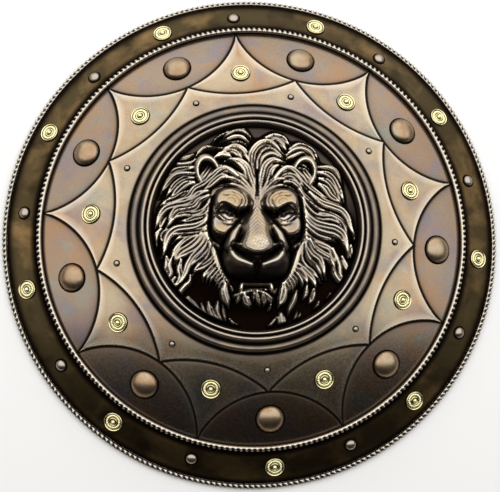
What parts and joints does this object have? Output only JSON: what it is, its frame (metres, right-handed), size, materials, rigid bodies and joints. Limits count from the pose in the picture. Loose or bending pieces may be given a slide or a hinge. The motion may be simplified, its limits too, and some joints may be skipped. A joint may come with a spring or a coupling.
{
  "type": "buckler shield",
  "caption": "Round dished steel parade shield with a roped rim, riveted band, star-shaped embossing, domed bosses, brass rosettes and a lion-mask medallion, with two straps behind",
  "frame": {"origin": "on the surface that the rim rests on, under the centre of the shield", "axes": "+Z out of the shield's face, up when it lies on its rim; +Y towards the crown of the lion's head; +X to the right as the face is looked at"},
  "size_m": [0.61, 0.61, 0.1246],
  "materials": {
    "aged_steel": "satin polished, warm copper-brown patina",
    "dark_steel": "satin, dark olive-brown patina",
    "worn_steel": "polished high spots, blackened grooves",
    "antiqued_casting": "cast, blackened recesses and rubbed bright ridges",
    "brass": "pale polished brass, dark grooves",
    "leather": "matt dark brown"
  },
  "bodies": {
    "root": {"shield_body": "aged_steel", "rim_band": "dark_steel", "outer_roped_edge": "worn_steel", "inner_roped_ring": "worn_steel", "lion_medallion": "antiqued_casting", "boss_stud_1": "aged_steel", "boss_stud_2": "aged_steel", "boss_stud_3": "aged_steel", "boss_stud_4": "aged_steel", "boss_stud_5": "aged_steel", "boss_stud_6": "aged_steel", "boss_stud_7": "aged_steel", "boss_stud_8": "aged_steel", "boss_stud_9": "aged_steel", "inner_rosette_1": "brass", "inner_rosette_2": "brass", "inner_rosette_3": "brass", "inner_rosette_4": "brass", "inner_rosette_5": "brass", "inner_rosette_6": "brass", "inner_rosette_7": "brass", "inner_rosette_8": "brass", "inner_rosette_9": "brass", "rim_rosette_1": "brass", "rim_rosette_2": "brass", "rim_rosette_3": "brass", "rim_rosette_4": "brass", "rim_rosette_5": "brass", "rim_rosette_6": "brass", "rim_rosette_7": "brass", "rim_rosette_8": "brass", "rim_rosette_9": "brass", "rim_rivet_1": "worn_steel", "rim_rivet_2": "worn_steel", "rim_rivet_3": "worn_steel", "rim_rivet_4": "worn_steel", "rim_rivet_5": "worn_steel", "rim_rivet_6": "worn_steel", "rim_rivet_7": "worn_steel", "rim_rivet_8": "worn_steel", "rim_rivet_9": "worn_steel", "small_rivet_1": "worn_steel", "small_rivet_2": "worn_steel", "small_rivet_3": "worn_steel", "small_rivet_4": "worn_steel", "small_rivet_5": "worn_steel", "small_rivet_6": "worn_steel", "small_rivet_7": "worn_steel", "small_rivet_8": "worn_steel", "small_rivet_9": "worn_steel", "arm_strap": "leather", "arm_strap_rivet_upper": "worn_steel", "arm_strap_rivet_lower": "worn_steel", "grip_strap": "leather", "grip_strap_rivet_upper": "worn_steel", "grip_strap_rivet_lower": "worn_steel"}
  },
  "joints": []
}
